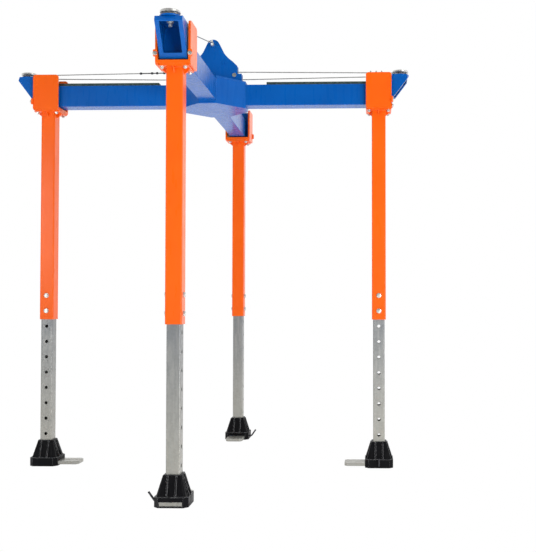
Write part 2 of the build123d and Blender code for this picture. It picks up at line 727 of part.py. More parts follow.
clip_parts = []
for step in range(clip_count):
    clip_x = leg_reach + clip_first + step * clip_pitch
    run_direction = on_near_run(mast_sheave_x) - on_near_run(far_x)
    clip_plane = Plane(origin=on_near_run(clip_x), x_dir=(0, 1, 0), z_dir=run_direction)
    with BuildPart() as rope_clip:
        with BuildSketch(clip_plane):
            RectangleRounded(clip_block[1], clip_block[2], fitting_round)
            Circle(rope_radius + post_fit, mode=Mode.SUBTRACT)
        extrude(amount=clip_block[0] / 2, both=True)
        stud_spread = clip_block[1] / 2 - clip_stud_inset
        with BuildSketch(Plane.XY.offset(on_near_run(clip_x).Z + clip_block[2] / 2 - clip_stud_root)):
            with Locations((clip_x, on_near_run(clip_x).Y - stud_spread),
                           (clip_x, on_near_run(clip_x).Y + stud_spread)):
                Circle(clip_stud)
        extrude(amount=clip_stud_height)
    clip_parts.append(rope_clip.part)
save(Compound(children=[solid for clip in clip_parts for solid in clip.solids()]), "rope_clips")

# Each stay is one rope with an eye at both ends: a small one through the mast's ring, a large
# one round the head's sheave. A ferrule closes each eye.
ring_x = eye_y + eye_ring
ring_bend = eye_wire + rope_radius + rope_gap
ring_ferrule_x = ring_x + ring_eye_length
head_ferrule_x = sheave_x - head_eye_length
split = rope_radius + ferrule_split
stay_drop = (mast_eye_z - head_rope_z) / (head_ferrule_x - ring_x)


def on_stay(x, y):
    """Point of a stay's straight run, from the mast's ring down to the head's ferrule."""
    return (x, y, mast_eye_z - (x - ring_x) * stay_drop)


ring_y = loop_corner(ring_eye_length, split, ring_bend)
head_y = loop_corner(head_eye_length, split, head_rope_radius)
stay_route = [on_stay(ring_ferrule_x + ferrule_length, split), on_stay(ring_ferrule_x, split),
              on_stay(ring_x - ring_bend, ring_y), on_stay(ring_x - ring_bend, -ring_y),
              on_stay(ring_ferrule_x, -split), on_stay(head_ferrule_x, -split),
              (far_x, -head_y, head_rope_z), (far_x, head_y, head_rope_z),
              on_stay(head_ferrule_x, split), on_stay(head_ferrule_x - ferrule_length, split)]
ring_turn = ring_bend * loop_tightness
stay = rope(stay_route, [stay_bend, ring_turn, ring_turn, stay_bend, stay_bend, head_turn, head_turn, stay_bend])
save(stay.rotate(Axis.Z, ARM_TURNS["front"]), "front_stay_rope")
save(stay.rotate(Axis.Z, ARM_TURNS["rear"]), "rear_stay_rope")

stay_direction = Vector(1, 0, -stay_drop)
with BuildPart() as ferrules:
    for start in (ring_ferrule_x + ferrule_gap, head_ferrule_x - ferrule_length):
        with BuildSketch(Plane(origin=on_stay(start, 0), x_dir=(0, 1, 0), z_dir=stay_direction)):
            SlotOverall(2 * (split + rope_radius + ferrule_wall), 2 * (rope_radius + ferrule_wall))
            with Locations((-split, 0), (split, 0)):
                Circle(rope_radius + post_fit, mode=Mode.SUBTRACT)
        extrude(amount=ferrule_length - ferrule_gap)
save_group(ferrules.part, "stay_ferrules", [ARM_TURNS["front"], ARM_TURNS["rear"]])
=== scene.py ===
# %% [markdown]
# A portable gantry crane: four box beams meet in a hub, and each beam ends in a head that
# stands on a telescopic leg. The CAD model already holds every shape, fit and joint, so this
# script keeps it as a fixed frame and gives each piece the edges, welds and finish of the
# real one. Lengths are metres, +X is the right arm and -Y the front arm.

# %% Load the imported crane
import json
import math

import bmesh
import bpy
from mathutils import Matrix, Vector


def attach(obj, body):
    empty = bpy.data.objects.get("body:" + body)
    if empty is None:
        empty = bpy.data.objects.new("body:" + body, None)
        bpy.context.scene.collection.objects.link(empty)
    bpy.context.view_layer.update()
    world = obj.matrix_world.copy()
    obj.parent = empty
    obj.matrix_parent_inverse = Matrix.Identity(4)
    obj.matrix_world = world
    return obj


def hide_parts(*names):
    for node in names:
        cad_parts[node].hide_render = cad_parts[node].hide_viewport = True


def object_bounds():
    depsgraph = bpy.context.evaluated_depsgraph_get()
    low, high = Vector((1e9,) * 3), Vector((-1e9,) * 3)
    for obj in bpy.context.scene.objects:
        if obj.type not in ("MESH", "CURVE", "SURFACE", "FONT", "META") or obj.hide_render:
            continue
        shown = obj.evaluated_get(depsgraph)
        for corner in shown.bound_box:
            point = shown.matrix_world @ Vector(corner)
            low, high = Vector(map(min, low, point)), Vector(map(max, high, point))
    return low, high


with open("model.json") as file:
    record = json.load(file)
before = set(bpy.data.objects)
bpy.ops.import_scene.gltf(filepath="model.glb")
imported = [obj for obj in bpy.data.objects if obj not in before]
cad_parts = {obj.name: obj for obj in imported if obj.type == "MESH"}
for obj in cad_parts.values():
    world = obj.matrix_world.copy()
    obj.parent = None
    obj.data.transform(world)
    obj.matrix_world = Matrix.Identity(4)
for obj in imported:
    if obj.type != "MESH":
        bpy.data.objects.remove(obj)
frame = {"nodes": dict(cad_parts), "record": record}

cad_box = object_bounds()
nodes = frame["nodes"]
record = frame["record"]
body_of_node = {node: body for body, members in record["behaviour"]["bodies"].items() for node in members}
slot_of_node = {part["node"]: part["material_slot"] for part in record["subparts"]}
ARM_TURNS = {"right": 0, "rear": 90, "left": 180, "front": 270}

# %% [markdown]
# The camera comes first. It stands a little right of the front leg at eye height, and looks
# almost level, so that the legs stay upright in the picture. The crane is left of the
# picture's centre, and a small sideways shift of the lens puts it there without turning the
# legs. The shift is a share of the picture's longer side.

# %% Camera
SENSOR = 36.0
eye = Vector((1.390, -7.494, 1.438))
eye_turn = math.radians(1.72)
eye_tilt = math.radians(1.44)
focal_share = 1.5652        # focal length over the picture's longer side
aim_share = Vector((-0.1424, 0.0020))

bpy.ops.object.camera_add(location=eye, rotation=(math.pi / 2 + eye_tilt, 0, eye_turn))
camera = bpy.context.active_object
camera.name = "camera"
camera.data.sensor_width = SENSOR
camera.data.lens = SENSOR * focal_share
camera.data.shift_x, camera.data.shift_y = aim_share
camera.data.clip_end = 100
bpy.context.scene.camera = camera
print("lens", round(camera.data.lens, 2), "mm")

# %% [markdown]
# A white studio. The camera sees a white backdrop, while the light that falls on the crane
# comes mostly from above and behind it: gloss paint seen from the front then keeps its deep
# colour, and its side faces catch the bright backdrop as a pale sheen. Three large soft lights
# brighten the front. The floor glows a little, as a lit white floor does, and so fills the
# beams' undersides. The camera sees the white backdrop in the floor's place, so that a foot
# let down below the floor's level isn't hidden.

# %% Studio
def soft_light(name, place, size, power):
    """A square soft light that looks at the middle of the crane."""
    aim = (cad_box[0] + cad_box[1]) / 2
    bpy.ops.object.light_add(type="AREA", location=place)
    light = bpy.context.active_object
    light.name = name
    light.data.size = size
    light.data.energy = power
    light.rotation_euler = (aim - Vector(place)).to_track_quat("-Z", "Y").to_euler()
    return light


def studio_world(front, behind, above):
    """Light from all round that grows from the front to the back, and upward."""
    world = bpy.data.worlds.new("studio")
    world.use_nodes = True
    tree = world.node_tree
    direction = tree.nodes.new("ShaderNodeTexCoord").outputs["Generated"]
    split = tree.nodes.new("ShaderNodeSeparateXYZ")
    tree.links.new(direction, split.inputs["Vector"])
    levels = []
    for axis, low, low_to, high_to in (("Y", -1, front, behind), ("Z", 0, 0, above)):
        level = tree.nodes.new("ShaderNodeMapRange")
        level.inputs["From Min"].default_value = low
        level.inputs["To Min"].default_value = low_to
        level.inputs["To Max"].default_value = high_to
        tree.links.new(split.outputs[axis], level.inputs["Value"])
        levels.append(level.outputs["Result"])
    total = tree.nodes.new("ShaderNodeMath")
    tree.links.new(levels[0], total.inputs[0])
    tree.links.new(levels[1], total.inputs[1])
    light = tree.nodes["Background"]
    tree.links.new(total.outputs["Value"], light.inputs["Strength"])
    light.inputs["Color"].default_value = (1, 1, 1, 1)
    backdrop = tree.nodes.new("ShaderNodeBackground")
    backdrop.inputs["Color"].default_value = (1, 1, 1, 1)
    seen = tree.nodes.new("ShaderNodeLightPath").outputs["Is Camera Ray"]
    mix = tree.nodes.new("ShaderNodeMixShader")
    tree.links.new(seen, mix.inputs["Fac"])
    tree.links.new(light.outputs["Background"], mix.inputs[1])
    tree.links.new(backdrop.outputs["Background"], mix.inputs[2])
    tree.links.new(mix.outputs["Shader"], tree.nodes["World Output"].inputs["Surface"])
    return world


FLOOR_SIZE = 60
floor_z = cad_box[0].z
bpy.ops.mesh.primitive_plane_add(size=FLOOR_SIZE, location=(0, 0, floor_z))
floor = bpy.context.active_object
floor.name = "floor"
floor_paint = bpy.data.materials.new("floor_white")
floor_paint.use_nodes = True
floor_shader = floor_paint.node_tree.nodes["Principled BSDF"]
floor_shader.inputs["Base Color"].default_value = (0.90, 0.90, 0.905, 1)
floor_shader.inputs["Roughness"].default_value = 0.75
floor_shader.inputs["Specular IOR Level"].default_value = 0.2
floor_shader.inputs["Emission Color"].default_value = (1, 1, 1, 1)
floor_shader.inputs["Emission Strength"].default_value = 0.32
floor.data.materials.append(floor_paint)
floor.visible_camera = False    # it lights the crane, and a leg let down past it stays in sight

bpy.context.scene.world = studio_world(0.04, 1.30, 0.32)
bpy.context.scene.view_settings.view_transform = "Standard"
lights = {"key_right": ((6.0, -5.0, 7.0), 4.0, 150),     # place, size, watts
          "fill_left": ((-5.0, -9.0, 2.9), 2.4, 130),
          "low_right": ((5.0, -8.0, 1.2), 2.5, 300)}
for name, (place, size, power) in lights.items():
    soft_light(name, place, size, power)
print("lights", ", ".join(lights))

# %% [markdown]
# Small helpers. An operator works on whatever is selected, and the loaded CAD pieces start
# out selected, so each helper first selects just the piece that it works on.

# %% Helpers for pieces
def activate(piece):
    """Select one object and make it the active one."""
    bpy.ops.object.select_all(action="DESELECT")
    piece.select_set(True)
    bpy.context.view_layer.objects.active = piece


def apply_modifiers(piece):
    """Apply every modifier, first to last."""
    activate(piece)
    for name in [modifier.name for modifier in piece.modifiers]:
        bpy.ops.object.modifier_apply(modifier=name)


def smooth(piece, angle=35):
    """Smooth shading, with creases at edges sharper than the angle."""
    activate(piece)
    bpy.ops.object.shade_smooth_by_angle(angle=math.radians(angle))


def join(pieces, name):
    """Join several objects into one."""
    activate(pieces[0])
    for piece in pieces:
        piece.select_set(True)
    bpy.ops.object.join()
    joined = bpy.context.active_object
    joined.name = name
    joined.data.name = name
    return joined


def placed_copy(piece, name, place):
    """A copy with its own mesh, put where a matrix says."""
    copy = piece.copy()
    copy.data = piece.data.copy()
    copy.data.transform(place)
    copy.name = name
    bpy.context.scene.collection.objects.link(copy)
    return copy


def on_face(point, outward_dir):
    """Matrix that stands a piece modelled along +Z on a face, at a point."""
    turn = Vector(outward_dir).to_track_quat("Z", "X").to_matrix().to_4x4()
    return Matrix.Translation(Vector(point)) @ turn


def around_arms(places):
    """The same places on all four arms, given those on the right arm."""
    return [Matrix.Rotation(math.radians(turn), 4, "Z") @ place
            for turn in ARM_TURNS.values() for place in places]


def spread(pattern, name, places):
    """Copies of one pattern piece at many places, joined. The pattern itself is removed."""
    copies = [placed_copy(pattern, f"{name}_{index}", place) for index, place in enumerate(places)]
    bpy.data.objects.remove(pattern)
    return join(copies, name)


def outward(piece):
    """Merge doubles and turn every face of a closed shape outward."""
    activate(piece)
    bpy.ops.object.mode_set(mode="EDIT")
    bpy.ops.mesh.select_all(action="SELECT")
    bpy.ops.mesh.remove_doubles(threshold=0.00001)
    bpy.ops.mesh.normals_make_consistent(inside=False)
    bpy.ops.object.mode_set(mode="OBJECT")


def dress(piece, body, slot, material, *replaced):
    """Give a finished piece its body and its material; the slot is not used."""
    piece.data.materials.clear()
    piece.data.materials.append(material)
    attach(piece, body)
    if replaced:
        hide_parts(*replaced)
    return piece


# %% [markdown]
# Materials read Object coordinates. Every piece's object sits at the origin, so a pattern
# stays on the piece and runs on from one plate to the next. A number that is the same all
# over is set on the shader's own socket.

# %% Helpers for materials
def start_material(name, color, metallic, roughness):
    """A material with one Principled shader, its plain values set on the shader."""
    material = bpy.data.materials.new(name)
    material.use_nodes = True
    shader = material.node_tree.nodes["Principled BSDF"]
    shader.inputs["Base Color"].default_value = (*color, 1)
    shader.inputs["Metallic"].default_value = metallic
    shader.inputs["Roughness"].default_value = roughness
    coords = material.node_tree.nodes.new("ShaderNodeTexCoord")
    return material, shader, coords.outputs["Object"]


def texture(material, kind, coords, **values):
    """A texture node on given coordinates, with its sockets set by name."""
    node = material.node_tree.nodes.new(kind)
    for socket, value in values.items():
        node.inputs[socket.title()].default_value = value
    material.node_tree.links.new(coords, node.inputs["Vector"])
    return node


def stretched(material, coords, scale):
    """Coordinates stretched by a Mapping node."""
    node = material.node_tree.nodes.new("ShaderNodeMapping")
    node.inputs["Scale"].default_value = scale
    material.node_tree.links.new(coords, node.inputs["Vector"])
    return node.outputs["Vector"]


def remap(material, value, low, high, low_to, high_to):
    """A value moved from one range to another, and held inside the new one."""
    node = material.node_tree.nodes.new("ShaderNodeMapRange")
    node.inputs["From Min"].default_value = low
    node.inputs["From Max"].default_value = high
    node.inputs["To Min"].default_value = low_to
    node.inputs["To Max"].default_value = high_to
    material.node_tree.links.new(value, node.inputs["Value"])
    return node.outputs["Result"]


def blend_colors(material, factor, first, second):
    """Mix two colours, each a plain colour or another node's output."""
    node = material.node_tree.nodes.new("ShaderNodeMix")
    node.data_type = "RGBA"
    material.node_tree.links.new(factor, node.inputs["Factor"])
    for socket, color in (("A", first), ("B", second)):
        target = [s for s in node.inputs if s.name == socket and s.type == "RGBA"][0]
        if isinstance(color, tuple):
            target.default_value = (*color, 1)
        else:
            material.node_tree.links.new(color, target)
    return [s for s in node.outputs if s.type == "RGBA"][0]


def add_bump(material, shader, heights, distance, strength):
    """Bump the surface by a height value."""
    node = material.node_tree.nodes.new("ShaderNodeBump")
    node.inputs["Distance"].default_value = distance
    node.inputs["Strength"].default_value = strength
    material.node_tree.links.new(heights, node.inputs["Height"])
    material.node_tree.links.new(node.outputs["Normal"], shader.inputs["Normal"])


def edge_highlight_mask(material, coords, radius, low, high):
    """A mask that is 1 along sharp edges, broken up by noise, where a pale colour paints a highlight.

    A Bevel node bends the normal near an edge, so where its normal leaves the true one there
    is an edge.
    """
    tree = material.node_tree
    bevel = tree.nodes.new("ShaderNodeBevel")
    bevel.samples = 4
    bevel.inputs["Radius"].default_value = radius
    geometry = tree.nodes.new("ShaderNodeNewGeometry")
    dot = tree.nodes.new("ShaderNodeVectorMath")
    dot.operation = "DOT_PRODUCT"
    tree.links.new(bevel.outputs["Normal"], dot.inputs[0])
    tree.links.new(geometry.outputs["Normal"], dot.inputs[1])
    edge = remap(material, dot.outputs["Value"], 0.97, 0.80, 0.0, 1.0)
    # noise that breaks up the painted edge highlight
    highlight_breakup = texture(material, "ShaderNodeTexNoise", coords, scale=38, detail=6)
    broken = remap(material, highlight_breakup.outputs["Fac"], low, high, 0.0, 1.0)
    product = tree.nodes.new("ShaderNodeMath")
    product.operation = "MULTIPLY"
    tree.links.new(edge, product.inputs[0])
    tree.links.new(broken, product.inputs[1])
    return product.outputs["Value"]


# %% [markdown]
# Gloss paint on steel. Sprayed paint has a fine orange-peel surface, and its colour drifts a
# little from panel to panel. Paler paint along the edges is a painted highlight. A clear coat
# gives the sharp highlight over the softer one.

# %% Gloss paint
def gloss_paint(name, color, deep, pale, roughness):
    """Gloss paint with orange peel, a slow colour drift and a painted highlight in pale paint along the
    edges.
    """
    material, shader, coords = start_material(name, color, 0.0, roughness)
    links = material.node_tree.links
    drift = texture(material, "ShaderNodeTexNoise", coords, scale=2.2, detail=3)
    tone = blend_colors(material, remap(material, drift.outputs["Fac"], 0.35, 0.7, 0, 0.6), color, deep)
    upright = stretched(material, coords, (30, 30, 5))
    grime = texture(material, "ShaderNodeTexNoise", upright, scale=1.0, detail=6)
    tone = blend_colors(material, remap(material, grime.outputs["Fac"], 0.52, 0.8, 0, 0.1), tone, deep)
    # pale paint along sharp edges: a painted highlight
    edge_highlight = edge_highlight_mask(material, coords, 0.003, 0.45, 0.62)
    tone = blend_colors(material, edge_highlight, tone, pale)
    links.new(tone, shader.inputs["Base Color"])
    links.new(remap(material, grime.outputs["Fac"], 0.3, 0.75, roughness - 0.05, roughness + 0.12),
              shader.inputs["Roughness"])
    peel = texture(material, "ShaderNodeTexNoise", coords, scale=170, detail=2)
    add_bump(material, shader, peel.outputs["Fac"], 0.0004, 0.05)
    shader.inputs["Coat Weight"].default_value = 0.20
    shader.inputs["Coat Roughness"].default_value = 0.20
    shader.inputs["Specular IOR Level"].default_value = 0.12
    return material


orange_paint = gloss_paint("orange_gloss", color=(0.82, 0.116, 0.004), deep=(0.75, 0.086, 0.003),
                           pale=(0.92, 0.31, 0.11), roughness=0.30)
blue_paint = gloss_paint("blue_gloss", color=(0.0004, 0.095, 0.395), deep=(0.0003, 0.066, 0.30),
                         pale=(0.02, 0.25, 0.64), roughness=0.27)

# %% [markdown]
# Hot-dip galvanised steel shows a patchwork of zinc crystals, called spangle. A Voronoi
# texture is that patchwork: each cell has its own grey and its own roughness. Long stretched
# noise adds the runs that the zinc leaves as it drains. A tube's tone also goes slowly darker
# from its bottom to its top.

# %% Galvanised steel and the other metals
def galvanised_steel():
    """Zinc spangle with drain marks."""
    material, shader, coords = start_material("galvanised_spangle", (0.24, 0.25, 0.245), 0.70, 0.40)
    links = material.node_tree.links
    spangle = texture(material, "ShaderNodeTexVoronoi", coords, scale=70)
    split = material.node_tree.nodes.new("ShaderNodeSeparateColor")
    links.new(spangle.outputs["Color"], split.inputs["Color"])
    crystal = split.outputs["Red"]
    upright = stretched(material, coords, (55, 55, 7))
    runs = texture(material, "ShaderNodeTexNoise", upright, scale=1.0, detail=7)
    height = material.node_tree.nodes.new("ShaderNodeSeparateXYZ")
    links.new(coords, height.inputs["Vector"])
    # the tone goes darker from the bottom of a tube to its top
    height_fade = remap(material, height.outputs["Z"], 0.3, 1.2, 0, 1)
    tone = blend_colors(material, height_fade, (0.34, 0.335, 0.30), (0.215, 0.225, 0.235))
    facets = remap(material, crystal, 0, 1, 0, 0.22)
    tone = blend_colors(material, facets, tone, (0.15, 0.16, 0.155))
    drained = remap(material, runs.outputs["Fac"], 0.42, 0.66, 0, 0.45)
    tone = blend_colors(material, drained, tone, (0.36, 0.36, 0.34))
    stains = texture(material, "ShaderNodeTexNoise", coords, scale=9, detail=5)
    stained = remap(material, stains.outputs["Fac"], 0.55, 0.75, 0, 0.2)
    tone = blend_colors(material, stained, tone, (0.17, 0.18, 0.17))
    links.new(tone, shader.inputs["Base Color"])
    links.new(remap(material, crystal, 0, 1, 0.34, 0.48), shader.inputs["Roughness"])
    add_bump(material, shader, runs.outputs["Fac"], 0.0008, 0.15)
    return material


def plain_metal(name, color, pale, roughness, grain, bump):
    """Plated or blackened steel: a light mottle in colour, gloss and height."""
    material, shader, coords = start_material(name, color, 0.9, roughness)
    links = material.node_tree.links
    mottle = texture(material, "ShaderNodeTexNoise", coords, scale=grain, detail=5)
    links.new(blend_colors(material, remap(material, mottle.outputs["Fac"], 0.35, 0.7, 0, 1), color, pale),
              shader.inputs["Base Color"])
    links.new(remap(material, mottle.outputs["Fac"], 0.3, 0.7, roughness + 0.10, roughness - 0.06),
              shader.inputs["Roughness"])
    add_bump(material, shader, mottle.outputs["Fac"], 0.0004, bump)
    return material


def cast_black():
    """Black coating over a sand casting: a coarse skin, with a painted grey highlight on the ribs' edges."""
    material, shader, coords = start_material("black_casting", (0.012, 0.012, 0.014), 0.0, 0.48)
    links = material.node_tree.links
    sand = texture(material, "ShaderNodeTexNoise", coords, scale=260, detail=4)
    dust = texture(material, "ShaderNodeTexNoise", coords, scale=14, detail=6)
    tone = blend_colors(material, remap(material, dust.outputs["Fac"], 0.5, 0.8, 0, 0.6),
                        (0.003, 0.003, 0.004), (0.009, 0.009, 0.010))
    # grey along the ribs' edges: a painted highlight
    edge_highlight = edge_highlight_mask(material, coords, 0.004, 0.30, 0.45)
    links.new(blend_colors(material, edge_highlight, tone, (0.30, 0.30, 0.31)), shader.inputs["Base Color"])
    shader.inputs["Specular IOR Level"].default_value = 0.08
    links.new(remap(material, dust.outputs["Fac"], 0.35, 0.7, 0.36, 0.62), shader.inputs["Roughness"])
    add_bump(material, shader, sand.outputs["Fac"], 0.0012, 0.35)
    return material


def matt_rubber():
    """Dark rubber that is dusty in places."""
    material, shader, coords = start_material("matt_rubber", (0.008, 0.008, 0.008), 0.0, 0.85)
    dust = texture(material, "ShaderNodeTexNoise", coords, scale=30, detail=5)
    material.node_tree.links.new(blend_colors(material, remap(material, dust.outputs["Fac"], 0.5, 0.8, 0, 1),
                                              (0.006, 0.006, 0.006), (0.025, 0.024, 0.022)),
                                 shader.inputs["Base Color"])
    add_bump(material, shader, dust.outputs["Fac"], 0.0005, 0.2)
    shader.inputs["Specular IOR Level"].default_value = 0.2
    return material


galvanised = galvanised_steel()
zinc = plain_metal("zinc_plate", (0.52, 0.52, 0.50), (0.70, 0.70, 0.67), 0.30, 60, 0.1)
dark_steel = plain_metal("black_oxide", (0.035, 0.035, 0.040), (0.09, 0.09, 0.10), 0.42, 90, 0.2)
rope_wire = plain_metal("rope_wire", (0.20, 0.20, 0.20), (0.42, 0.42, 0.40), 0.40, 400, 0.1)
dark_bar = plain_metal("dull_green_bar", (0.045, 0.075, 0.068), (0.085, 0.125, 0.115), 0.55, 40, 0.2)
black_cast = cast_black()
finishes = {"blue_paint": blue_paint, "orange_paint": orange_paint, "galvanised": galvanised,
            "zinc_steel": zinc, "black_cast": black_cast, "dark_bar": dark_bar,
            "dark_steel": dark_steel, "wire_rope": rope_wire, "black_rubber": matt_rubber()}
for name, node in nodes.items():
    node.data.materials.clear()
    node.data.materials.append(finishes[slot_of_node[name]])
print("finishes", len(finishes))

# %% [markdown]
# The CAD plates have knife edges, and real plate is ground or rolled round, which is what
# catches the light. A CAD piece's own mesh stays as it is, so a copy is cleaned (doubles
# merged, flat triangles dissolved into whole faces) and gets a Bevel modifier. A Weighted
# Normal modifier then keeps the wide faces flat in their shading, next to the round edges.

# %% Plates with rounded edges
def rounded(name, width, segments=2, angle=38):
    """A copy of a CAD node with its sharp edges rounded. It replaces the node."""
    source = nodes[name]
    piece = bpy.data.objects.new(name + "_made", source.data.copy())
    bpy.context.scene.collection.objects.link(piece)
    activate(piece)
    bpy.ops.mesh.customdata_custom_splitnormals_clear()
    bpy.ops.object.mode_set(mode="EDIT")
    bpy.ops.mesh.select_all(action="SELECT")
    bpy.ops.mesh.remove_doubles(threshold=0.00002)
    bpy.ops.mesh.dissolve_limited(angle_limit=math.radians(1.0))
    bpy.ops.object.mode_set(mode="OBJECT")
    bevel = piece.modifiers.new("round", "BEVEL")
    bevel.width = width
    bevel.segments = segments
    bevel.limit_method = "ANGLE"
    bevel.angle_limit = math.radians(angle)
    bevel.use_clamp_overlap = True
    apply_modifiers(piece)
    smooth(piece, 30)
    flat = piece.modifiers.new("flat", "WEIGHTED_NORMAL")
    flat.keep_sharp = True
    apply_modifiers(piece)
    return dress(piece, body_of_node[name], slot_of_node[name], finishes[slot_of_node[name]], name)


edge_radius = {"hub_box": 0.004, "hub_top_plate": 0.003, "mast_plate_front": 0.002, "mast_plate_rear": 0.002,
               "beam_top_bars": 0.003, "rest_pads": 0.002, "mast_sheave_axles": 0.0012,
               "mast_spacer_bolts": 0.0012, "mast_top_pin": 0.0012, "sheave_posts": 0.0012,
               "stay_ferrules": 0.0012}
arm_edge_radius = {"beam": 0.0015, "arm_head": 0.003, "leg_fork": 0.003, "outer_leg": 0.002,
                   "inner_leg": 0.0015, "foot": 0.003, "foot_bar": 0.003, "clamp_rod": 0.0015}
for name, width in edge_radius.items():
    rounded(name, width)
for side in ARM_TURNS:
    for name, width in arm_edge_radius.items():
        rounded(f"{side}_{name}", width)

# %% [markdown]
# Turned parts, such as sheaves, washers and threads, start as a circle that is extruded and
# scaled from level to level, as on a lathe. A closed profile ends on its first level, and
# merging the doubles there closes the ring.

# %% Turned and hexagonal parts
def turned(name, levels, segments=32, closed=False):
    """A round piece along +Z from levels of (radius, height)."""
    radius, height = levels[0]
    bpy.ops.object.select_all(action="DESELECT")
    bpy.ops.mesh.primitive_circle_add(vertices=segments, radius=radius, location=(0, 0, 0),
                                      fill_type="NOTHING" if closed else "NGON")
    piece = bpy.context.active_object
    piece.name = name
    piece.data.transform(Matrix.Translation((0, 0, height)))
    bpy.ops.object.mode_set(mode="EDIT")
    bpy.ops.mesh.select_all(action="SELECT")
    for new_radius, new_height in levels[1:]:
        bpy.ops.mesh.extrude_region_move(TRANSFORM_OT_translate={"value": (0, 0, new_height - height)})
        bpy.ops.transform.resize(value=(new_radius / radius, new_radius / radius, 1))
        radius, height = new_radius, new_height
    bpy.ops.object.mode_set(mode="OBJECT")
    outward(piece)
    return piece


def hexagon(name, across, low, high, chamfer):
    """A hexagonal nut or bolt head along +Z with a chamfered top."""
    bpy.ops.object.select_all(action="DESELECT")
    bpy.ops.mesh.primitive_cylinder_add(vertices=6, radius=across / math.sqrt(3), depth=high - low,
                                        location=(0, 0, 0))
    piece = bpy.context.active_object
    piece.name = name
    piece.data.transform(Matrix.Translation((0, 0, (low + high) / 2)))
    bpy.ops.object.mode_set(mode="EDIT")
    mesh = bmesh.from_edit_mesh(piece.data)
    for edge in mesh.edges:
        edge.select_set(all(vert.co.z > high - 1e-6 for vert in edge.verts))
    bmesh.update_edit_mesh(piece.data)
    bpy.ops.mesh.bevel(offset=chamfer, segments=2, profile=0.6)
    bpy.ops.object.mode_set(mode="OBJECT")
    return piece


def thread_levels(radius, low, high, pitch=0.0025, depth=0.12):
    """Levels of a thread, drawn as rings of a pitch."""
    count = max(1, round((high - low) / pitch))
    step = (high - low) / count
    levels = [(radius * (1 - depth), low)]
    for index in range(count):
        levels += [(radius, low + (index + 0.5) * step), (radius * (1 - depth), low + (index + 1) * step)]
    return levels


def bolt(name, across, washer, head_low, head_high, shank, shank_low, tip_high):
    """A washer, a hexagon and a threaded end, on a shank that goes down into the plate."""
    hole = across * 0.36
    washer_levels = [(hole, 0), (washer, 0), (washer, head_low * 0.8), (washer * 0.96, head_low),
                     (hole, head_low)]
    parts = [turned(name, washer_levels),
             hexagon(name + "_hex", across, head_low, head_high, across * 0.05),
             turned(name + "_shank", [(shank, shank_low), (shank, 0)], 20)]
    if tip_high > head_high:
        parts.append(turned(name + "_tip", thread_levels(shank * 0.98, head_high - 0.001, tip_high), 20))
    return join(parts, name)


# %% Bolts
LEG_X, HEAD_X = 1.444, 1.632    # leg axis and sheave axis, from the hub's axis
LEG_HALF = 0.060                # half the outer tube
FLANGE_LOW = 3.066              # underside of the flange on the outer tube
LOCK_HEIGHTS = (1.334, 1.467)
FLANGE_OFFSET = 0.082           # a flange bolt from the leg's axis, both ways
EAR_FACE, EAR_SIDE = 0.122, 0.123           # a fork bolt from the leg's axis, out and across
EAR_HEIGHT = 3.146

lock_bolt = bolt("lock_bolt", across=0.036, washer=0.0205, head_low=0.003, head_high=0.0125,
                 shank=0.010, shank_low=-0.009, tip_high=0.015)
flange_bolt = bolt("flange_bolt", across=0.024, washer=0.0150, head_low=0.0025, head_high=0.013,
                   shank=0.008, shank_low=-0.038, tip_high=0.018)
fork_bolt = bolt("fork_bolt", across=0.026, washer=0.0145, head_low=0.0025, head_high=0.0105,
                 shank=0.006, shank_low=-0.010, tip_high=0.013)
lock_places = [on_face((LEG_X, side * LEG_HALF, height), (0, side, 0))
               for side in (-1, 1) for height in LOCK_HEIGHTS]
flange_places = [on_face((LEG_X + dx, dy, FLANGE_LOW), (0, 0, -1))
                 for dx in (-FLANGE_OFFSET, FLANGE_OFFSET) for dy in (-FLANGE_OFFSET, FLANGE_OFFSET)]
ear_places = [on_face((LEG_X + EAR_FACE, side * EAR_SIDE, EAR_HEIGHT), (1, 0, 0)) for side in (-1, 1)]
for name, pattern, places in (("lock_bolts", lock_bolt, lock_places),
                              ("flange_bolts", flange_bolt, flange_places),
                              ("fork_bolts", fork_bolt, ear_places)):
    bolts = spread(pattern, name + "_made", around_arms(places))
    smooth(bolts, 30)
    dress(bolts, "root", "zinc_steel", zinc, name)
    print(name, len(places) * len(ARM_TURNS))

# %% Rope sheaves on the arm heads
SHEAVE_LOW = 3.3823             # underside of a head sheave, on its collar
sheave_profile = [(0.0151, 0.000), (0.0440, 0.000), (0.0520, 0.0006), (0.0505, 0.0025), (0.0478, 0.0050),
                  (0.0466, 0.0090), (0.0478, 0.0135), (0.0510, 0.0165), (0.0560, 0.0180), (0.0690, 0.0195),
                  (0.0710, 0.0215), (0.0710, 0.0320), (0.0690, 0.0355), (0.0660, 0.0360), (0.0560, 0.0360),
                  (0.0530, 0.0325), (0.0380, 0.0325), (0.0350, 0.0358), (0.0151, 0.0358), (0.0151, 0.000)]
for side, turn in ARM_TURNS.items():
    place = Matrix.Rotation(math.radians(turn), 4, "Z") @ Matrix.Translation((HEAD_X, 0, SHEAVE_LOW))
    sheave = spread(turned("sheave", sheave_profile, 64, closed=True), f"{side}_sheave_made", [place])
    smooth(sheave, 35)
    dress(sheave, f"{side}_head_sheave", "zinc_steel", zinc, f"{side}_rope_sheave")

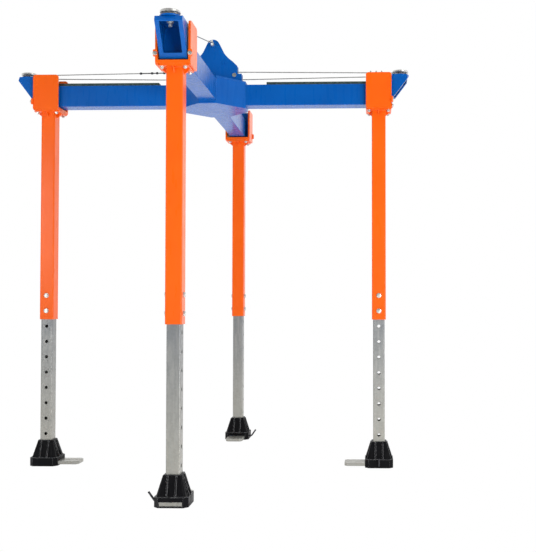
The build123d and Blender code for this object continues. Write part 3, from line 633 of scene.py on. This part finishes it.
# %% Corner sheaves in the mast
mast_profile = [(0.0101, -0.0110), (0.0160, -0.0110), (0.0180, -0.0085), (0.0310, -0.0085), (0.0335, -0.0110),
                (0.0390, -0.0110), (0.0400, -0.0100), (0.0400, -0.0080), (0.0325, -0.0050), (0.0302, -0.0025),
                (0.0296, 0.0000), (0.0302, 0.0025), (0.0325, 0.0050), (0.0400, 0.0080), (0.0400, 0.0100),
                (0.0390, 0.0110), (0.0335, 0.0110), (0.0310, 0.0085), (0.0180, 0.0085), (0.0160, 0.0110),
                (0.0101, 0.0110), (0.0101, -0.0110)]
CORNER_X, CORNER_Z = 0.185, 3.390
for side, sign in (("left", -1), ("right", 1)):
    place = on_face((sign * CORNER_X, 0, CORNER_Z), (0, 1, 0))
    corner = spread(turned("corner", mast_profile, 48, closed=True), f"mast_sheave_{side}_made", [place])
    smooth(corner, 35)
    dress(corner, f"mast_sheave_{side[0]}", "zinc_steel", zinc, f"mast_sheave_{side}")

# %% [markdown]
# Six strands are laid round a core in a wire rope. Each strand is a helix round the rope's
# own line, which is one smooth curve along the route's points. A rope that is held tight
# stays straight up to a sheave, so a long run has one more point close to each of its ends.

# %% Wire ropes
ROPE_SIZE = 0.008
ROPE_LAY = 0.052            # length in which a strand goes once round
NEAR_SHEAVE = 6 * ROPE_SIZE


def route_points(name, route):
    """Points along a smooth curve that has the route's points as its control points."""
    curve = bpy.data.curves.new(name, "CURVE")
    curve.dimensions = "3D"
    curve.resolution_u = 24
    spline = curve.splines.new("NURBS")
    spline.points.add(len(route) - 1)
    for point, place in zip(spline.points, route):
        point.co = (*place, 1)
    spline.order_u = 3
    spline.use_endpoint_u = True
    line = bpy.data.objects.new(name, curve)
    bpy.context.scene.collection.objects.link(line)
    mesh = bpy.data.meshes.new_from_object(line)
    points = [vertex.co.copy() for vertex in mesh.vertices]
    bpy.data.objects.remove(line)
    bpy.data.meshes.remove(mesh)
    return points


def evenly(points, step):
    """Points at even distances along a polyline."""
    total = sum((b - a).length for a, b in zip(points, points[1:]))
    count = max(2, round(total / step))
    wanted = [total * index / count for index in range(count + 1)]
    result, travelled, index = [], 0.0, 0
    for distance in wanted:
        while index < len(points) - 2 and travelled + (points[index + 1] - points[index]).length < distance:
            travelled += (points[index + 1] - points[index]).length
            index += 1
        run = points[index + 1] - points[index]
        result.append(points[index] + run * ((distance - travelled) / run.length))
    return result, total / count


def tube_curve(name, lines, radius, sides=1, radii=None):
    """A mesh of round tubes along several lines of points."""
    curve = bpy.data.curves.new(name, "CURVE")
    curve.dimensions = "3D"
    curve.bevel_depth = radius
    curve.bevel_resolution = sides
    curve.use_fill_caps = True
    for line in lines:
        spline = curve.splines.new("POLY")
        spline.points.add(len(line) - 1)
        for index, (point, place) in enumerate(zip(spline.points, line)):
            point.co = (*place, 1)
            point.radius = radii[index % len(radii)] if radii else 1.0
    tube = bpy.data.objects.new(name, curve)
    bpy.context.scene.collection.objects.link(tube)
    activate(tube)
    bpy.ops.object.convert(target="MESH")
    return bpy.context.active_object


def wire_rope(name, route, replaced):
    """Six strands round the route's smooth line."""
    points, step = evenly(route_points(name, route), ROPE_LAY / 9)
    strands = [[] for _ in range(6)]
    side = None
    for index, point in enumerate(points):
        ahead = (points[min(index + 1, len(points) - 1)] - points[max(index - 1, 0)]).normalized()
        side = ahead.orthogonal() if side is None else side - ahead * side.dot(ahead)
        side.normalize()
        across = ahead.cross(side)
        for number, strand in enumerate(strands):
            angle = math.tau * (index * step / ROPE_LAY + number / 6)
            strand.append(point + (side * math.cos(angle) + across * math.sin(angle)) * ROPE_SIZE / 3)
    rope = tube_curve(name, strands, ROPE_SIZE / 6 * 1.06, 1)
    smooth(rope, 60)
    dress(rope, "root", "wire_rope", rope_wire, replaced)
    print(name, "length", round(step * (len(points) - 1), 3), "faces", len(rope.data.polygons))
    return rope


def tight(corners):
    """Corner points with one more point close to each end of every long run between them."""
    route = [Vector(corners[0])]
    for start, end in zip(corners, corners[1:]):
        start, end = Vector(start), Vector(end)
        run = end - start
        if run.length > 4 * NEAR_SHEAVE:
            step = run * (NEAR_SHEAVE / run.length)
            route += [start + step, end - step]
        route.append(end)
    return route


# the left arm's turnbuckle ends one line, and the rope comes back to its other end
buckle_start, buckle_end = Vector((-0.6500, -0.0163, 3.4139)), Vector((-0.4020, -0.0076, 3.4193))
arm_route = tight([buckle_start, (-1.6828, -0.0526, 3.3913), (-1.6828, 0.0526, 3.3913),
                   (-0.1850, 0.0000, 3.3560), (0.1850, 0.0000, 3.3560), (1.6828, 0.0526, 3.3913),
                   (1.6828, -0.0526, 3.3913), (0.1850, 0.0000, 3.4240), (-0.1850, 0.0000, 3.4240),
                   buckle_end])
stay_route = tight([(0.2300, 0.0044, 3.6281), (0.1840, 0.0044, 3.6380), (0.1027, 0.0125, 3.6554),
                    (0.1027, -0.0125, 3.6554), (0.1840, -0.0044, 3.6380), (1.3320, -0.0044, 3.3913),
                    (1.6828, -0.0594, 3.3913), (1.6828, 0.0594, 3.3913), (1.3320, 0.0044, 3.3913),
                    (1.2860, 0.0044, 3.4012)])
wire_rope("arm_rope_made", arm_route, "arm_rope")
for side in ("front", "rear"):
    turn = Matrix.Rotation(math.radians(ARM_TURNS[side]), 3, "Z")
    wire_rope(f"{side}_stay_made", [turn @ point for point in stay_route], f"{side}_stay_rope")

# %% [markdown]
# The turnbuckle has an open body: two bosses joined by two bars, with a threaded rod in
# between. Two clamps hold the rope's end to the rod.

# %% Turnbuckle and rope clips
def block(name, size, low, bevel):
    """A box along +Z from a low height, with rounded edges."""
    bpy.ops.object.select_all(action="DESELECT")
    bpy.ops.mesh.primitive_cube_add(size=1, location=(0, 0, 0))
    piece = bpy.context.active_object
    piece.name = name
    piece.data.transform(Matrix.Diagonal((*size, 1)))
    piece.data.transform(Matrix.Translation((0, 0, low + size[2] / 2)))
    bpy.ops.object.mode_set(mode="EDIT")
    bpy.ops.mesh.select_all(action="SELECT")
    bpy.ops.mesh.bevel(offset=bevel, segments=2)
    bpy.ops.object.mode_set(mode="OBJECT")
    return piece


buckle_length = (buckle_end - buckle_start).length
parts = []
for low in (0.0, 0.098):        # a boss at each end of the body
    outline = [(0.0075, low), (0.0098, low + 0.002), (0.0098, low + 0.018), (0.0075, low + 0.020)]
    parts.append(turned("boss", outline, 24))
for sign in (-1, 1):
    bar = turned("bar", [(0.0022, 0.004), (0.0028, 0.006), (0.0028, 0.112), (0.0022, 0.114)], 16)
    bar.data.transform(Matrix.Translation((0, sign * 0.0070, 0)))
    parts.append(bar)
parts.append(turned("rod", thread_levels(0.0048, 0.016, 0.034, 0.002), 20))
parts.append(turned("long_rod", thread_levels(0.0048, 0.076, buckle_length, 0.002), 20))
for low in (0.144, buckle_length - 0.042):      # rope clamps on the long rod
    parts.append(block("clamp", (0.019, 0.010, 0.016), low, 0.0015))
    for sign in (-1, 1):
        nut = hexagon("nut", 0.009, 0, 0.007, 0.0006)
        nut.data.transform(on_face((0, sign * 0.005, low + 0.008), (0, sign, 0)))
        parts.append(nut)
buckle = join(parts, "turnbuckle_made")
buckle.data.transform(on_face(buckle_start, buckle_end - buckle_start))
smooth(buckle, 30)
dress(buckle, "root", "dark_steel", dark_steel, "turnbuckle")

saddle = block("saddle", (0.016, 0.028, 0.008), 0.0015, 0.0018)
bow = [(0, 0.0085 * math.cos(math.radians(angle)), -0.0005 + 0.0072 * math.sin(math.radians(angle)))
       for angle in range(180, 361, 15)]
legs = [(0, -0.0085, 0.018)] + bow + [(0, 0.0085, 0.018)]
parts = [saddle, tube_curve("bow", [legs], 0.0026, 2)]
for sign in (-1, 1):
    nut = hexagon("nut", 0.010, 0.0092, 0.0152, 0.0007)
    nut.data.transform(Matrix.Translation((0, sign * 0.0085, 0)))
    parts.append(nut)
clip = join(parts, "clip")
clip_line = (Vector((0.1850, 0.0, 3.4240)), Vector((1.6828, -0.0526, 3.3913)))
clip_places = []
for clip_x in (1.375, 1.423, 1.471):
    share = (clip_x - clip_line[0].x) / (clip_line[1].x - clip_line[0].x)
    clip_places.append(Matrix.Translation(clip_line[0].lerp(clip_line[1], share)))
clips = spread(clip, "rope_clips_made", clip_places)
smooth(clips, 30)
dress(clips, "root", "zinc_steel", zinc, "rope_clips")

# %% [markdown]
# Weld beads. A hand-laid bead is a row of overlapping ripples, so its tube swells and
# narrows every few millimetres. It is painted over with its plates.

# %% Weld beads
RIPPLE = (1.0, 1.14, 1.2, 1.1)


def weld_beads(name, lines, radius, slot):
    """Weld beads along lines of corner points, half sunk in the plates that they join."""
    beads = [evenly([Vector(point) for point in line], 0.0025)[0] for line in lines]
    bead = tube_curve(name, beads, radius, 1, RIPPLE)
    smooth(bead, 50)
    return dress(bead, "root", slot, finishes[slot])


def on_all_arms(lines):
    """The same lines on all four arms."""
    return [[Matrix.Rotation(math.radians(turn), 3, "Z") @ Vector(point) for point in line]
            for turn in ARM_TURNS.values() for line in lines]


def rectangle(half_x, half_y):
    """The corners of a rectangle round the origin, back to the first one."""
    return [(-half_x, -half_y), (half_x, -half_y), (half_x, half_y), (-half_x, half_y), (-half_x, -half_y)]


BEAM_HALF, BEAM_LOW, BEAM_HIGH = 0.075, 3.114, 3.296
HUB_HALF, HEAD_START = 0.292, 1.424         # a beam runs from the hub to the head
HUB_HIGH, TOP_PLATE_HIGH = 3.311, 3.3235    # tops of the hub's box and of its plate
COLLAR_RADIUS, HEAD_HIGH = 0.075, 3.372     # the collar stands on the head's top
MAST_FOOT, MAST_FACE = 0.247, 0.0325        # half length and outer face of the mast's foot
SEAT_LOW, SEAT_HIGH = 3.080, 3.104          # the fork's seat plate
FORK_FACE, SEAT_REACH = 0.109, 0.108        # the fork's outer face, and half the seams' length

beam_middle = (BEAM_LOW + BEAM_HIGH) / 2
beam_ends = [[(x, y, beam_middle + z) for y, z in rectangle(BEAM_HALF, BEAM_HIGH - beam_middle)]
             for x in (HUB_HALF, HEAD_START)]
collar_turns = [math.radians(angle) for angle in range(64, 297, 4)]
collar = [[(HEAD_X + COLLAR_RADIUS * math.cos(turn), COLLAR_RADIUS * math.sin(turn), HEAD_HIGH)
           for turn in collar_turns]]
weld_beads("beam_welds", on_all_arms(beam_ends + collar), 0.0032, "blue_paint")

side_corners = [(HUB_HALF, BEAM_HALF), (BEAM_HALF, HUB_HALF)]
octagon = [Matrix.Rotation(math.radians(turn), 2) @ Vector(corner)
           for turn in ARM_TURNS.values() for corner in side_corners]
hub_seams = [[(x, y, HUB_HIGH) for x, y in octagon + octagon[:1]]]
hub_seams += [[(-MAST_FOOT, y, TOP_PLATE_HIGH), (MAST_FOOT, y, TOP_PLATE_HIGH)]
              for y in (-MAST_FACE, MAST_FACE)]
weld_beads("hub_welds", hub_seams, 0.0026, "blue_paint")

seat_seams = [[(LEG_X - SEAT_REACH, y, z), (LEG_X + SEAT_REACH, y, z)]
              for y in (-FORK_FACE, FORK_FACE) for z in (SEAT_LOW, SEAT_HIGH)]
seam_half = LEG_HALF + 0.0005               # just outside the tube's walls
tube_seam = [[(LEG_X + x, y, FLANGE_LOW) for x, y in rectangle(seam_half, seam_half)]]
weld_beads("leg_welds", on_all_arms(seat_seams + tube_seam), 0.003, "orange_paint")
